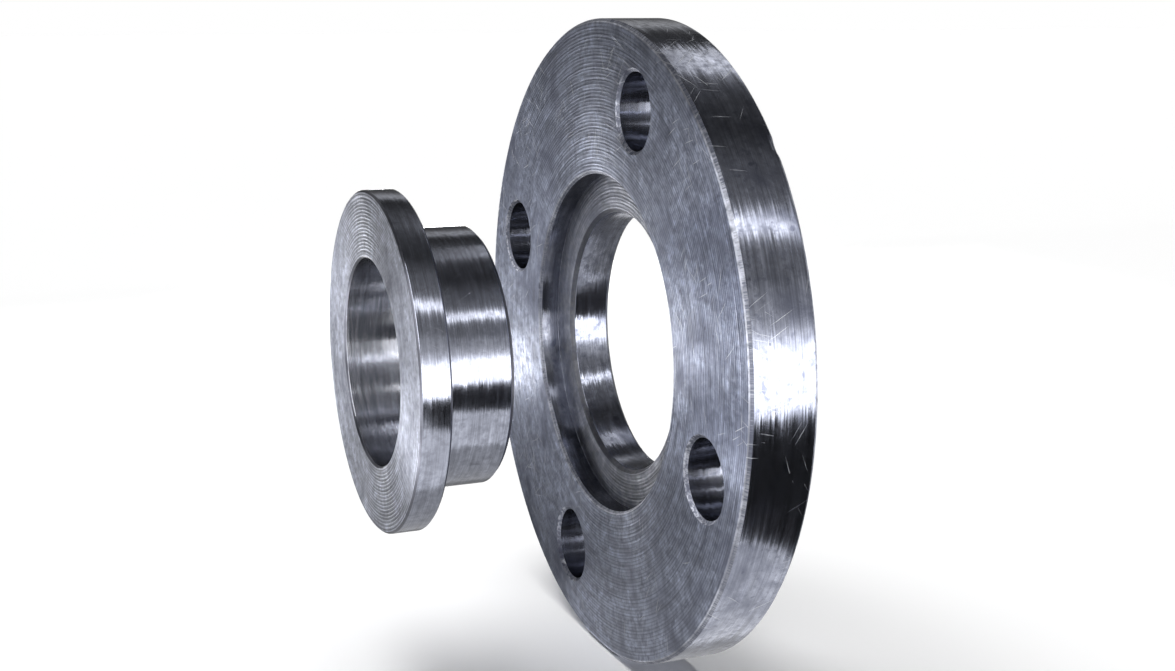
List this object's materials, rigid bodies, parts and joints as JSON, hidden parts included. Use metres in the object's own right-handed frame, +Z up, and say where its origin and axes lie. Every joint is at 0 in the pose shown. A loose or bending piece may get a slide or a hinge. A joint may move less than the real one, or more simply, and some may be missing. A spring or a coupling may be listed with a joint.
{
  "type": "lap joint flange",
  "caption": "Loose steel backing flange with a stepped recess and bolt holes, and the stub end whose grooved lap it pulls up to a gasket.",
  "frame": {"origin": "centre of the bolt circle, halfway through the backing flange's thickness", "axes": "Y is the pipe axis and the stub end lies towards -Y with its gasket face looking along -Y; +Z is up"},
  "size_m": [0.155, 0.0731, 0.155],
  "materials": {
    "flange_steel": "fine turned face with patchy stains and scratches, bright turned rim",
    "stub_steel": "turned, with ring grooves across the gasket face"
  },
  "bodies": {
    "flange": {"backing_flange": "flange_steel"},
    "stub": {"stub_end": "stub_steel"}
  },
  "joints": [
    {"name": "stub_slide", "type": "slide", "parent": "flange", "child": "stub", "axis": [0, 1, 0], "range_m": [0, 0.055]}
  ]
}
